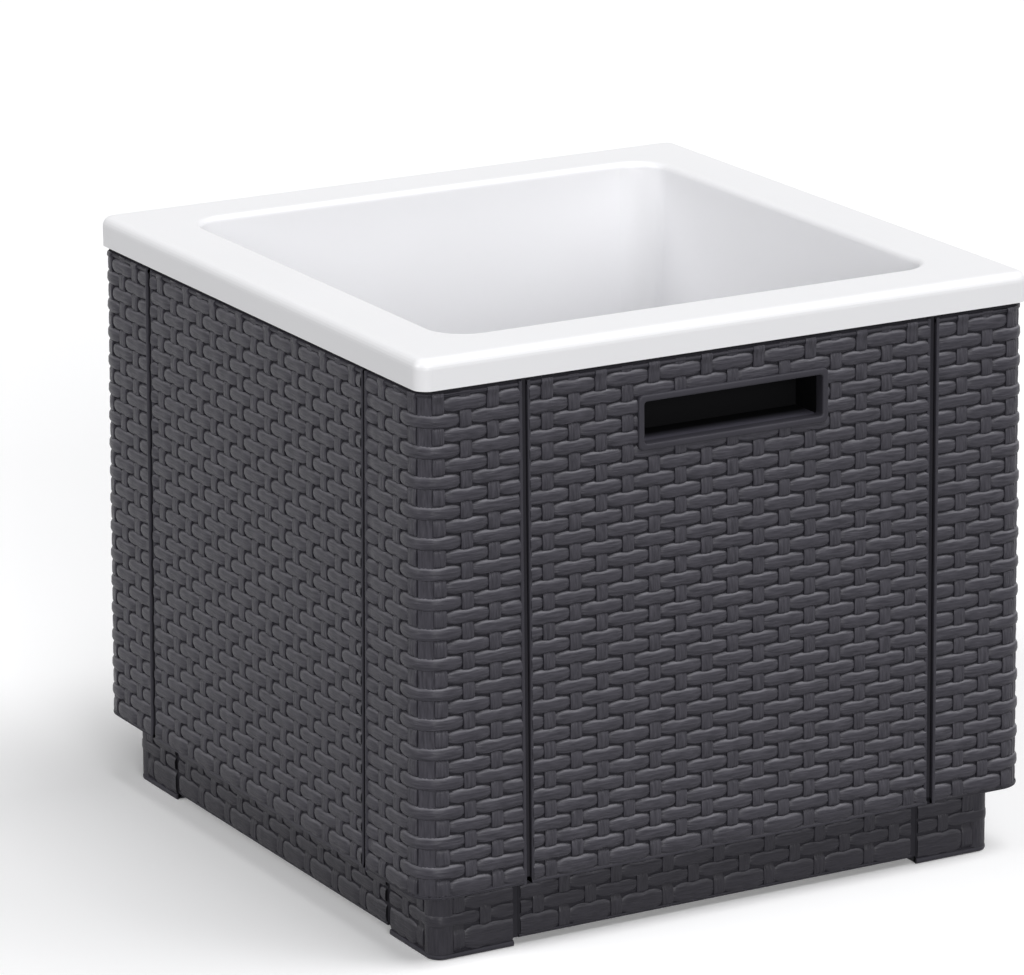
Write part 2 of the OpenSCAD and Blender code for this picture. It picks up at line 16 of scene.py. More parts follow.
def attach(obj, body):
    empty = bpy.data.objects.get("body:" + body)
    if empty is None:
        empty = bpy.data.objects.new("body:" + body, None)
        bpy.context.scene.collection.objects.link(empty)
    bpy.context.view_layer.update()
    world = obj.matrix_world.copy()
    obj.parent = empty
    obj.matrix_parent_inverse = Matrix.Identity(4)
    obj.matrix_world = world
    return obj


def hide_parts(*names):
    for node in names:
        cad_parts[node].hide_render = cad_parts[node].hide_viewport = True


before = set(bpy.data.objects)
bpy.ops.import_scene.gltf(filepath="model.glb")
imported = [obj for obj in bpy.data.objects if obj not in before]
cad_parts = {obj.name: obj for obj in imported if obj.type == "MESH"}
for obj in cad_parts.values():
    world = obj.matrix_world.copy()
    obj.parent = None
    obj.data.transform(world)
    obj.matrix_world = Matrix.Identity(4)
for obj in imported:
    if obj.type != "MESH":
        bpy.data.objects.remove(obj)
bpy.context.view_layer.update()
MM = 0.001

# %% [markdown]
# The camera stands where the photographer stood: 1.2 metres up, a little over three and a half metres
# away and to the left of the front wall. Its long lens keeps the upright edges nearly parallel. The
# place and the three angles were worked out from the corners and seams of the stool in the picture.

# %% The camera
CAMERA_PLACE = Vector((-1.727017, -2.995855, 1.204250))
CAMERA_YAW = 0.5152536
CAMERA_PITCH = -0.2798447
CAMERA_ROLL = -0.0048335
LENS = 206.27
SENSOR_WIDTH = 36

looks_along = Vector((
    math.cos(CAMERA_PITCH) * math.sin(CAMERA_YAW),
    math.cos(CAMERA_PITCH) * math.cos(CAMERA_YAW),
    math.sin(CAMERA_PITCH),
))
level_right = Vector((math.cos(CAMERA_YAW), -math.sin(CAMERA_YAW), 0))
level_up = level_right.cross(looks_along)
right = math.cos(CAMERA_ROLL) * level_right + math.sin(CAMERA_ROLL) * level_up
up = math.cos(CAMERA_ROLL) * level_up - math.sin(CAMERA_ROLL) * level_right
camera_data = bpy.data.cameras.new("camera")
camera_data.lens = LENS
camera_data.sensor_width = SENSOR_WIDTH
camera = bpy.data.objects.new("camera", camera_data)
turn = Matrix((right, up, -looks_along)).transposed()
camera.matrix_world = Matrix.Translation(CAMERA_PLACE) @ turn.to_4x4()
bpy.context.scene.collection.objects.link(camera)
bpy.context.scene.camera = camera
print("the camera stands", round(CAMERA_PLACE.length, 2), "m from the stool")

# %% [markdown]
# Shader maths reads better as plain sums than as boxes and wires. A Wire wraps one output of a node, and
# adding, taking away or multiplying wires adds the Math node that does it. A Recipe fills in the nodes
# of a material or of the world. Its add method makes any node, sets it up and plugs in its sockets, and
# its finish method ends in the shader that all the finishes of the stool share.

# %% Wires and recipes
class Wire:
    """One output socket of a recipe, which sums and products can be made of."""

    def __init__(self, recipe, socket):
        self.recipe = recipe
        self.socket = socket

    def math(self, operation, other=0.0, swap=False):
        """One Math node on this wire and another wire or number."""
        pair = (other, self) if swap else (self, other)
        return self.recipe.add("ShaderNodeMath", {"operation": operation}, {0: pair[0], 1: pair[1]})

    def __add__(self, other):
        return self.math("ADD", other)

    def __mul__(self, other):
        return self.math("MULTIPLY", other)

    def __radd__(self, other):
        return self.math("ADD", other, swap=True)

    def __rsub__(self, other):
        return self.math("SUBTRACT", other, swap=True)

    def __rmul__(self, other):
        return self.math("MULTIPLY", other, swap=True)


class Recipe:
    """A material or a world, filled in one node at a time."""

    def __init__(self, owner):
        self.owner = owner
        owner.use_nodes = True
        self.tree = owner.node_tree
        self.tree.nodes.clear()

    def add(self, kind, settings=None, sockets=None, out=0):
        """Makes a node, sets it up, fills or links its sockets, and gives one of its outputs."""
        node = self.tree.nodes.new(kind)
        for name, value in (settings or {}).items():
            setattr(node, name, value)
        for name, value in (sockets or {}).items():
            if isinstance(value, Wire):
                self.tree.links.new(value.socket, node.inputs[name])
            elif node.inputs[name].type == "RGBA":
                node.inputs[name].default_value = (*value, 1)
            else:
                node.inputs[name].default_value = value
        return Wire(self, node.outputs[out])

    def object_place(self):
        """Where a point lies on the stool, in metres."""
        return self.add("ShaderNodeTexCoord", out="Object")

    def axis(self, vector, letter):
        """One coordinate of a vector."""
        return self.add("ShaderNodeSeparateXYZ", None, {"Vector": vector}, out=letter)

    def ranged(self, value, zero_at, one_at):
        """A share that grows evenly from none at zero_at to all at one_at."""
        sockets = {"Value": value, "From Min": zero_at, "From Max": one_at}
        return self.add("ShaderNodeMapRange", None, sockets)

    def mixed(self, share, first, second):
        """A colour between two others."""
        return self.add("ShaderNodeMix", {"data_type": "RGBA"}, {0: share, 6: first, 7: second}, out=2)

    def stretched(self, place, scale):
        """Coordinates scaled axis by axis, which draws a pattern long or short."""
        return self.add("ShaderNodeMapping", None, {"Vector": place, "Scale": scale})

    def noise(self, place, scale, detail=2.0, roughness=0.5):
        """Soft random patches. A larger scale makes them smaller."""
        sockets = {"Vector": place, "Scale": scale, "Detail": detail, "Roughness": roughness}
        return self.add("ShaderNodeTexNoise", None, sockets, out="Fac")

    def bumped(self, height, depth, strength, under=None):
        """A bump of a depth in metres, on top of the one that is given as under."""
        sockets = {"Height": height, "Distance": depth, "Strength": strength}
        if under is not None:
            sockets["Normal"] = under
        return self.add("ShaderNodeBump", None, sockets)

    def plain_sight(self):
        """One for rays of the camera, of mirror gloss and of clear glass, and zero for all others."""
        camera_ray = self.add("ShaderNodeLightPath", out="Is Camera Ray")
        gloss_ray = self.add("ShaderNodeLightPath", out="Is Glossy Ray")
        glass_ray = self.add("ShaderNodeLightPath", out="Is Transmission Ray")
        return camera_ray + gloss_ray + glass_ray

    def end(self, kind, surface):
        """Links a shader to an output node, and gives the finished material or world."""
        output = self.tree.nodes.new(kind)
        self.tree.links.new(surface.socket, output.inputs["Surface"])
        return self.owner

    def finish(self, sockets):
        """Ends a material in the shader that all the stool's finishes share."""
        shader = self.add("ShaderNodeBsdfPrincipled", None, sockets)
        return self.end("ShaderNodeOutputMaterial", shader)


# %% [markdown]
# The weave is a graphite plastic. Each strand carries fine ridges along its length, as if it were cut
# from palm leaf, so the pattern has to follow the strand round corners and up the stakes. The strands
# therefore have a UV map called grain, which measures along and across them, and the noise is drawn long
# in one direction and short in the other. A second map called relief holds how far each point stands
# out, and how high it sits on its strand. Painted shade darkens the colour low down between the strands
# and near the floor, and a painted highlight makes the strands' upper edges paler.

# %% The weave's finish
GRAPHITE = (0.044, 0.042, 0.052)
GRAPHITE_PALE = (0.065, 0.062, 0.075)
GRAPHITE_DEEP = (0.026, 0.025, 0.032)
# A painted highlight for the strands' upper edges.
GRAPHITE_PAINTED_HIGHLIGHT = (0.24, 0.235, 0.26)
# Painted shade, for where the weave lies low and near the floor.
GRAPHITE_PAINTED_SHADE = (0.016, 0.015, 0.019)
SATIN = 0.16
DULL = 0.08

RIDGES = (9, 72, 1)
RIDGE_DETAIL, RIDGE_BREAK = 2.5, 0.55
THREADS = (30, 260, 1)
SPECKS = 1500
PATCHES = 14
RIDGE_DEPTH, RIDGE_STRENGTH = 0.00075, 0.9
THREAD_DEPTH, THREAD_STRENGTH = 0.0002, 0.6
SPECK_DEPTH, SPECK_STRENGTH = 0.00006, 0.5
MIDDLE_TONES = (0.3, 0.7)
RAISED = (0.05, 0.3)
UPPER = (0.6, 0.9)
NEAR_FLOOR_SHADE = (0.06, 0.03)
DRIFT_SHARE, RECESS_SHADE_SHARE, FLOOR_SHADE_SHARE = 0.35, 0.8, 0.5
LEAST_HIGHLIGHT, RIDGE_HIGHLIGHT = 0.25, 0.4
WEAVE_ROUGH, RIDGE_ROUGH, THREAD_ROUGH = 0.28, 0.12, 0.08


def woven_colour(recipe, ridges):
    """Graphite drifting in tone, painted shade low down and near the floor, a painted highlight on upper
    edges.
    """
    tone = recipe.ranged(ridges, *MIDDLE_TONES)
    drift = recipe.ranged(recipe.noise(recipe.object_place(), PATCHES), *MIDDLE_TONES)
    relief = recipe.add("ShaderNodeUVMap", {"uv_map": "relief"})
    raised = recipe.ranged(recipe.axis(relief, "X"), *RAISED)
    upper = recipe.ranged(recipe.axis(relief, "Y"), *UPPER)
    near_floor_shade = recipe.ranged(recipe.axis(recipe.object_place(), "Z"), *NEAR_FLOOR_SHADE)
    colour = recipe.mixed(tone, GRAPHITE_DEEP, GRAPHITE_PALE)
    colour = recipe.mixed(drift * DRIFT_SHARE, colour, GRAPHITE)
    # Painted shade: darker where the weave lies low between the strands.
    colour = recipe.mixed((1 - raised) * RECESS_SHADE_SHARE, colour, GRAPHITE_PAINTED_SHADE)
    # Painted highlight: the raised upper edges of the strands are paler, as if lit from above.
    colour = recipe.mixed(upper * raised * (LEAST_HIGHLIGHT + RIDGE_HIGHLIGHT * tone), colour, GRAPHITE_PAINTED_HIGHLIGHT)
    # Painted shade: darker towards the floor, under the wall's overhang.
    return recipe.mixed(near_floor_shade * FLOOR_SHADE_SHARE, colour, GRAPHITE_PAINTED_SHADE)


def woven_finish(name):
    """Satin graphite with ridges along each strand."""
    recipe = Recipe(bpy.data.materials.new(name))
    grain = recipe.add("ShaderNodeUVMap", {"uv_map": "grain"})
    ridges = recipe.noise(recipe.stretched(grain, RIDGES), 1.0, RIDGE_DETAIL, RIDGE_BREAK)
    threads = recipe.noise(recipe.stretched(grain, THREADS), 1.0, 1.0)
    specks = recipe.noise(recipe.object_place(), SPECKS, 1.0)
    coarse = recipe.bumped(ridges, RIDGE_DEPTH, RIDGE_STRENGTH)
    middle = recipe.bumped(threads, THREAD_DEPTH, THREAD_STRENGTH, under=coarse)
    normal = recipe.bumped(specks, SPECK_DEPTH, SPECK_STRENGTH, under=middle)
    rough = WEAVE_ROUGH + ridges * RIDGE_ROUGH + threads * THREAD_ROUGH
    sockets = {"Base Color": woven_colour(recipe, ridges), "Roughness": rough, "Normal": normal}
    return recipe.finish({**sockets, "Specular IOR Level": SATIN})


woven = woven_finish("woven_graphite")
print("finish of the weave:", woven.name)

# %% [markdown]
# Plain parts take a fine leathery grain. The sheet behind the weave, what lies far back in a seam, and
# the lip that stands up inside the tub's rim take a darker, dull graphite, which is painted shade. The
# cup behind each hand grip is a pocket that reaches far in, and in the picture only its ledge catches the
# light. One finish paints both: upward faces low in the cup and near the wall's face get a paler colour
# as painted light, and the rest of the pocket is painted near black as shade.

# %% Plain graphite and the cups of the grips
LEATHER = (1400, 0.00008)
GRAIN_STRENGTH = 0.6
PLAIN_PATCHES, PATCH_DETAIL, PATCH_ROUGH = 18, 3.0, 0.12
GRAPHITE_ROUGH, DEEP_ROUGH = 0.42, 0.6
CUP_ROUGH, LEDGE_SMOOTHER = 0.66, 0.2
# Darker graphite that stands for painted shade on the sheet, the seams and the lip.
SHADE_PAINTED_TONES = ((0.022, 0.021, 0.026), (0.031, 0.03, 0.036))
# Near black painted shade for the cup's pocket, and a paler painted light for its ledge.
CUP_PAINTED_SHADES = ((0.0015, 0.0015, 0.002), (0.003, 0.003, 0.0035))
CUP_LIT_LEDGE = (0.085, 0.082, 0.105)
LEDGE_BELOW = 0.306
LEDGE_UPWARD = 0.5
LEDGE_FADE = (0.188, 0.197)


def grained(recipe, grain):
    """A fine bump. grain is its scale and its depth in metres."""
    scale, depth = grain
    return recipe.bumped(recipe.noise(recipe.object_place(), scale), depth, GRAIN_STRENGTH)


def plain_finish(name, shades, rough_base, grain, gloss):
    """Moulded plastic or rubber with a fine grain, in patches of two shades."""
    recipe = Recipe(bpy.data.materials.new(name))
    patches = recipe.noise(recipe.object_place(), PLAIN_PATCHES, PATCH_DETAIL)
    shade = recipe.mixed(patches, *shades)
    rough = rough_base + patches * PATCH_ROUGH
    sockets = {"Base Color": shade, "Roughness": rough, "Normal": grained(recipe, grain)}
    return recipe.finish({**sockets, "Specular IOR Level": gloss})


def cup_finish(name):
    """The cup of a grip: a ledge painted paler as light, and a pocket behind it painted near black as
    shade.
    """
    recipe = Recipe(bpy.data.materials.new(name))
    place = recipe.object_place()
    upward = recipe.axis(recipe.add("ShaderNodeTexCoord", out="Normal"), "Z")
    low_down = recipe.axis(place, "Z").math("LESS_THAN", LEDGE_BELOW)
    near_face = recipe.ranged(recipe.axis(place, "Y").math("ABSOLUTE"), *LEDGE_FADE)
    # Upward faces low in the cup are painted paler as light, and the rest of the pocket near black as
    # shade.
    ledge = upward.math("GREATER_THAN", LEDGE_UPWARD) * low_down * near_face
    pocket_shade = recipe.mixed(recipe.noise(place, PLAIN_PATCHES, PATCH_DETAIL), *CUP_PAINTED_SHADES)
    colour = recipe.mixed(ledge, pocket_shade, CUP_LIT_LEDGE)
    rough = CUP_ROUGH - LEDGE_SMOOTHER * ledge
    sockets = {"Base Color": colour, "Roughness": rough, "Normal": grained(recipe, LEATHER)}
    return recipe.finish({**sockets, "Specular IOR Level": DULL})


graphite = plain_finish("plain_graphite", (GRAPHITE_DEEP, GRAPHITE), GRAPHITE_ROUGH, LEATHER, SATIN)
# The darker finish is painted shade.
shade_painted = plain_finish("shade_painted_graphite", SHADE_PAINTED_TONES, DEEP_ROUGH, LEATHER, DULL)
cup = cup_finish("cup_graphite")
print("plain graphite finishes:", graphite.name, shade_painted.name, cup.name)

# %% [markdown]
# The white plastic of the tub is satin and nearly even. Real mouldings still show a faint drift of tone
# and a slight ripple in their gloss, so both are added very weakly. Bead foam shows its beads as cells
# pressed against one another, which a Voronoi texture draws well: its distance to the nearest edge
# between cells gives the seams. Rubber is dull and dark, and the screws are zinc plated steel.

# %% White, foam, rubber and steel
WHITE_SHADES = ((0.80, 0.80, 0.82), (0.83, 0.83, 0.85))
FOAM_SHADES = ((0.6, 0.61, 0.59), (0.8, 0.81, 0.79))
ZINC_SHADES = ((0.5, 0.51, 0.53), (0.66, 0.67, 0.68))
RUBBER_SHADES = ((0.016, 0.016, 0.018), (0.026, 0.026, 0.028))
WHITE_DRIFT, WHITE_RIPPLE, WHITE_SKIN = 9, 60, 900
WHITE_ROUGH, WHITE_RIPPLE_ROUGH = 0.32, 0.08
WHITE_DEPTH, WHITE_STRENGTH = 0.00002, 0.2
BEADS, BEAD_SEAM = 260, 0.16
BEAD_DEPTH, BEAD_STRENGTH = 0.0004, 0.8
FOAM_ROUGH, BEAD_SMOOTHER = 0.75, 0.12
SCRATCHES, SCRATCH_SCALE = (1, 1, 12), 700
SCRATCH_DEPTH, SCRATCH_STRENGTH = 0.00003, 0.5
ZINC_ROUGH, SCRATCH_ROUGH = 0.26, 0.2
RUBBER_SKIN, RUBBER_ROUGH = (800, 0.0001), 0.62


def white_finish(name):
    """Satin white plastic."""
    recipe = Recipe(bpy.data.materials.new(name))
    place = recipe.object_place()
    colour = recipe.mixed(recipe.noise(place, WHITE_DRIFT), *WHITE_SHADES)
    rough = WHITE_ROUGH + recipe.noise(place, WHITE_RIPPLE) * WHITE_RIPPLE_ROUGH
    normal = recipe.bumped(recipe.noise(place, WHITE_SKIN, 1.0), WHITE_DEPTH, WHITE_STRENGTH)
    return recipe.finish({"Base Color": colour, "Roughness": rough, "Normal": normal})


def foam_finish(name):
    """Expanded bead foam."""
    recipe = Recipe(bpy.data.materials.new(name))
    sockets = {"Vector": recipe.object_place(), "Scale": BEADS}
    seams = recipe.add("ShaderNodeTexVoronoi", {"feature": "DISTANCE_TO_EDGE"}, sockets)
    cells = recipe.ranged(seams, 0.0, BEAD_SEAM)
    colour = recipe.mixed(cells, *FOAM_SHADES)
    rough = FOAM_ROUGH - cells * BEAD_SMOOTHER
    normal = recipe.bumped(cells, BEAD_DEPTH, BEAD_STRENGTH)
    return recipe.finish({"Base Color": colour, "Roughness": rough, "Normal": normal})


def steel_finish(name):
    """Zinc plated steel."""
    recipe = Recipe(bpy.data.materials.new(name))
    scratches = recipe.noise(recipe.stretched(recipe.object_place(), SCRATCHES), SCRATCH_SCALE)
    colour = recipe.mixed(scratches, *ZINC_SHADES)
    rough = ZINC_ROUGH + scratches * SCRATCH_ROUGH
    normal = recipe.bumped(scratches, SCRATCH_DEPTH, SCRATCH_STRENGTH)
    return recipe.finish({"Base Color": colour, "Roughness": rough, "Metallic": 1.0, "Normal": normal})


white = white_finish("white_plastic")
foam = foam_finish("bead_foam")
steel = steel_finish("screw_steel")
rubber = plain_finish("black_rubber", RUBBER_SHADES, RUBBER_ROUGH, RUBBER_SKIN, SATIN)
print("other finishes:", white.name, foam.name, steel.name, rubber.name)

# %% [markdown]
# The tub, the foam, the cups, the floor pan, the drain and the screws already have the right shape in
# the solid model, so they stay as they are and only change their finish. The walls get plain graphite,
# and the woven pieces made below stand in for them.

# %% Finishes of the solid pieces
FINISH_OF = {
    "base_screws": steel,
    "drain_gasket": rubber,
    "plug_seal": rubber,
    "inner_tub": white,
    "drain_spigot": white,
    "drain_nut": white,
    "drain_plug": white,
    "front_grip_cup": cup,
    "back_grip_cup": cup,
}
for node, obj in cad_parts.items():
    obj.data.materials.clear()
    obj.data.materials.append(foam if node.startswith("foam") else FINISH_OF.get(node, graphite))
print("finishes laid on", len(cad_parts), "solid pieces")

# %% [markdown]
# The walls come next. All their sizes, in millimetres, are the solid model's own. The walls lean out a
# little towards the bottom, and their corners are arcs about one centre. The plinth below stands back
# from them and has arcs of its own. A path is the length of half a post or foot when it is unrolled.

# %% Sizes of the walls
ARC_CENTRE = 192.0
CORNER_RADIUS = 15.0
FLARE = 3.3
WALL_TOP = 344.8
WALL_FOOT = 43.5
LIP_TOP = 361.5
PANEL_EDGE = 136.9
POST_EDGE = 140.5
BACK = -2.7
HALF_TURN = CORNER_RADIUS * math.pi / 4
PLINTH_HALF = 194.5
PLINTH_CENTRE = 185.5
PLINTH_RADIUS = 9.0
PLINTH_HALF_TURN = PLINTH_RADIUS * math.pi / 4
POST_PATH = HALF_TURN + ARC_CENTRE - POST_EDGE
PLINTH_PATH = PLINTH_HALF_TURN + PLINTH_CENTRE - POST_EDGE
print("a corner post is", round(2 * POST_PATH, 1), "mm wide when it is unrolled")

# %% [markdown]
# Bending finished weave is easier than weaving round a corner. So each wall is first built flat, as if
# unrolled: x runs along the wall, y comes out of it with zero at the crowns of the weave, and z goes up.
# At the end every point is set onto the real wall, straight or bent round a corner.

# %% From the flat wall to the real one
def wall_reach(z):
    """How far the crowns stand out from the arc centre at a height."""
    return CORNER_RADIUS + FLARE * max(0.0, WALL_TOP - z) / (WALL_TOP - WALL_FOOT)


def straight_place(flat):
    """A point of the unrolled wall on the real wall that faces +X."""
    return Vector((ARC_CENTRE + wall_reach(flat.z) + flat.y, -flat.x, flat.z)) * MM


def straight_plinth_place(flat):
    """A point of the unrolled plinth on the real plinth that faces +X."""
    return Vector((PLINTH_HALF + flat.y, -flat.x, flat.z)) * MM


def round_corner(centre, half_turn, reach, flat):
    """A point of an unrolled corner on the real corner between +X and +Y."""
    if abs(flat.x) <= half_turn:
        angle = math.pi / 4 * (1 - flat.x / half_turn)
        spot = (centre + reach * math.cos(angle), centre + reach * math.sin(angle))
    elif flat.x > 0:
        spot = (centre + reach, centre - (flat.x - half_turn))
    else:
        spot = (centre - (-flat.x - half_turn), centre + reach)
    return Vector((*spot, flat.z)) * MM


def corner_place(flat):
    """A point of an unrolled post on the real post."""
    return round_corner(ARC_CENTRE, HALF_TURN, wall_reach(flat.z) + flat.y, flat)


def corner_plinth_place(flat):
    """A point of an unrolled foot on the real foot."""
    return round_corner(PLINTH_CENTRE, PLINTH_HALF_TURN, PLINTH_RADIUS + flat.y, flat)


def bent(bm, place):
    """Sets every point of an unrolled part onto the real wall."""
    for vert in bm.verts:
        vert.co = place(vert.co)
    return bm


print("at its foot the wall stands out", round(wall_reach(WALL_FOOT) - CORNER_RADIUS, 1), "mm more")

# %% [markdown]
# In a plain weave each strand passes over one upright stake and under the next. A strand can be drawn
# as one long ribbon whose surface rises over a stake, falls away at a shoulder and dives behind the next
# stake, where it is also narrower. Each row of the strands' table gives a distance from the middle of
# the stake that the strand covers, and there the surface and the half width. The stakes' table does the
# same from the middle of the strand that a stake covers. The profiles across a ribbon give shares of
# the half width, and how far the surface drops there.

# %% Tables of the weave
STAKE_PITCH = 17.7
COURSE_PITCH = 8.94
ROOT = -3.0
CLOSEST_STATIONS = 0.35
STRAND_TABLE = (
    (0.0, -0.15, 3.55), (4.8, 0.0, 4.2), (8.6, -0.15, 4.1), (11.4, -0.55, 3.6), (12.9, -0.95, 3.1),
    (13.9, -1.45, 2.85), (15.2, -2.7, 2.6),
)
STAKE_TABLE = (
    (0.0, -0.75, 3.9), (3.4, -0.85, 3.9), (4.6, -1.25, 3.8), (5.6, -2.2, 3.6), (6.4, -2.7, 3.5),
)
STRAND_ACROSS = (
    (1.0, None), (0.96, -1.6), (0.79, -0.8), (0.5, -0.2), (-0.35, -0.1), (-0.8, -0.6), (-0.96, -1.4),
    (-1.0, None),
)
STAKE_ACROSS = ((-1.0, None), (-0.97, -0.3), (-0.8, 0.0), (0.8, 0.0), (0.97, -0.3), (1.0, None))
RIDGED_ACROSS = (
    (-1.0, None), (-0.97, -0.5), (-0.8, 0.0), (-0.62, -0.3), (-0.45, 0.0), (-0.22, -0.05),
    (-0.08, -0.35), (0.1, 0.0), (0.32, -0.35), (0.5, 0.0), (0.74, -0.05), (0.86, -0.5), (1.0, None),
)


def from_table(table, distance):
    """Surface and half width at a distance, between the rows of a table."""
    for before, after in zip(table, table[1:]):
        if distance <= after[0]:
            share = (distance - before[0]) / (after[0] - before[0])
            return [a + (b - a) * share for a, b in zip(before[1:], after[1:])]
    return list(table[-1][1:])


def stations_between(start, stop, centres, table):
    """Places along a ribbon: its two ends, and every row of its table around each centre."""
    marks = {start, stop}
    for centre in centres:
        for row in table:
            marks.update(m for m in (centre - row[0], centre + row[0]) if start < m < stop)
    kept = []
    for mark in sorted(marks):
        if not kept or mark - kept[-1] > CLOSEST_STATIONS:
            kept.append(mark)
    kept[-1] = stop
    return kept


print("between two stakes a strand dives", STRAND_TABLE[1][1] - STRAND_TABLE[-1][1], "mm")

# %% [markdown]
# A ribbon is a grid from create_grid, and each of its points is moved to its station along the ribbon
# and its place across it. No real strand is quite straight or even, so a slow noise lets each wander a
# little sideways, and a quicker one ripples its surface. The two UV maps are filled in on the way.

# %% Ribbons of the weave
WANDER, WANDER_PACE, WANDER_ROW = 0.22, 0.06, 7.3
RIPPLE, RIPPLE_PACE, RIPPLE_ROW, RIPPLE_SHARE, RIPPLE_LAYER = 0.16, 0.22, 3.1, 1.7, 5.0
GRAIN_UNIT, GRAIN_ROW = 0.01, 0.37


def unevenness(station, share, number):
    """How far a point strays sideways and in depth. Each ribbon reads noise of its own."""
    slow = Vector((station * WANDER_PACE, number * WANDER_ROW, 0.0))
    quick = Vector((station * RIPPLE_PACE, number * RIPPLE_ROW + share * RIPPLE_SHARE, RIPPLE_LAYER))
    return WANDER * noise.noise(slow), RIPPLE * noise.noise(quick)


def lay_ribbon(bm, stations, across, shape, lengthwise, number):
    """Adds one ribbon. shape gives its middle line, surface and half width at a station."""
    grain = bm.loops.layers.uv["grain"]
    relief = bm.loops.layers.uv["relief"]
    rows = len(across) - 1
    steps = len(stations) - 1
    grid = bmesh.ops.create_grid(bm, x_segments=steps, y_segments=rows, size=1)
    marks = {}
    for vert in grid["verts"]:
        station = stations[round((vert.co.x + 1) / 2 * steps)]
        share, drop = across[round((vert.co.y + 1) / 2 * rows)]
        middle, surface, half = shape(station)
        wander, ripple = unevenness(station, share, number)
        side = middle + half * share + wander
        depth = ROOT if drop is None else max(surface + drop + ripple, ROOT)
        vert.co = (station, depth, side) if lengthwise else (side, depth, station)
        along = (station * GRAIN_UNIT, (side - middle) * GRAIN_UNIT + number * GRAIN_ROW)
        marks[vert] = (along, (1 - depth / ROOT, share if lengthwise else 0))
    for face in {face for vert in grid["verts"] for face in vert.link_faces}:
        face.smooth = True
        for loop in face.loops:
            loop[grain].uv, loop[relief].uv = marks[loop.vert]


# %% [markdown]
# One function weaves a whole wall. It needs to know where the stakes stand along the unrolled wall and
# which strands pass over which stakes. Round a corner post a strand covers both corner stakes at once,
# or passes behind them and the wide ridged strip between them, which then shows as a square. Near the
# seams of a post the strands stay level, because there they run out of the wall's edge.

# %% Strands
ROW_HALF = 4.2
LEVEL_END = 7.5
LEVEL_SURFACE, LEVEL_HALF = -0.7, 3.95
CORNER_SPAN_SHARE = 0.35


def nearest_cover(place, centres, corner):
    """Distance from the middle of the nearest stake that a strand covers."""
    if corner and abs(place) < corner:
        covers_corner = min(abs(corner - centre) for centre in centres) < 1
        return CORNER_SPAN_SHARE * (corner - abs(place)) if covers_corner else STAKE_PITCH
    return min(STAKE_PITCH, min(abs(place - centre) for centre in centres))


def weave(bm, reach, stakes, rows, parity, corner, seed):
    """Lays a strand at each row, from -reach to reach. stakes are (number, place) pairs."""
    level_from = reach - LEVEL_END if corner else reach
    for row, (height, half) in enumerate(rows):
        centres = [place for number, place in stakes if (row + number + parity) % 2 == 0]
        stretch = half / ROW_HALF

        def shape(station):
            distance = nearest_cover(station, centres, corner)
            surface, width = from_table(STRAND_TABLE, distance)
            if abs(station) > level_from:
                surface, width = max(surface, LEVEL_SURFACE), max(width, LEVEL_HALF)
            return height, surface, width * stretch

        stations = stations_between(-reach, reach, centres, STRAND_TABLE)
        lay_ribbon(bm, stations, STRAND_ACROSS, shape, True, seed + row)


print("a strand is", 2 * ROW_HALF, "mm high at its widest")

# %% [markdown]
# A stake shows only where strands pass behind it, so its ribbon sinks to the root between such places.
# Above the first strand its top stands proud, as a small knob under the rim. The strip in the corner
# keeps one surface all the way up.

# %% Stakes and corner strips
STAKE_SEED = 40
STAKE_TOP_FROM, STAKE_TOP_ROUND = 4.4, 1
STAKE_TOP_SURFACE, STAKE_TOP_END, STAKE_TOP_HALF = -0.1, -0.9, 3.7
STRIP_STEP = 5


def raise_stakes(bm, stakes, rows, low, high, parity, seed):
    """Stands the stakes, each showing at the rows whose strand passes behind it."""
    top_from = rows[0][0] + STAKE_TOP_FROM
    for number, place in stakes:
        centres = [height for row, (height, half) in enumerate(rows) if (row + number + parity) % 2]

        def shape(station):
            distance = min(COURSE_PITCH, min(abs(station - c) for c in centres))
            surface, half = from_table(STAKE_TABLE, distance)
            if station > top_from:
                surface = STAKE_TOP_SURFACE if station < high - STAKE_TOP_ROUND else STAKE_TOP_END
                half = STAKE_TOP_HALF
            return place, surface, half

        stations = stations_between(low, high, centres, STAKE_TABLE)
        lay_ribbon(bm, stations, STAKE_ACROSS, shape, False, seed + number + STAKE_SEED)


def fill_corner(bm, low, high, surface, half, seed):
    """A wide ridged strip up the corner itself. It shows as a square in every second row."""
    steps = round((high - low) / STRIP_STEP)
    stations = [low + (high - low) * i / steps for i in range(steps + 1)]
    lay_ribbon(bm, stations, RIDGED_ACROSS, lambda station: (0.0, surface, half), False, seed)


def corner_stakes(path_centre, numbers):
    """Numbers and places of the stakes on an unrolled corner, in line with those of the panels."""
    return [(k, side * (path_centre - k * STAKE_PITCH)) for k in numbers for side in (-1, 1)]


print("a corner strip has a step every", STRIP_STEP, "mm")

# %% [markdown]
# Now the real numbers go in. The wall has 33 courses, the first and the last a little wider than the
# others. The stakes are counted from the middle of each wall, so those of a post go on counting where
# the panel's leave off, and the weave runs on across the seams.

# %% Rows and stakes
COURSES = 33
FIRST_COURSE, TOP_HALF = 336.78, 4.35
LAST_COURSE, FOOT_HALF = 49.3, 5.4

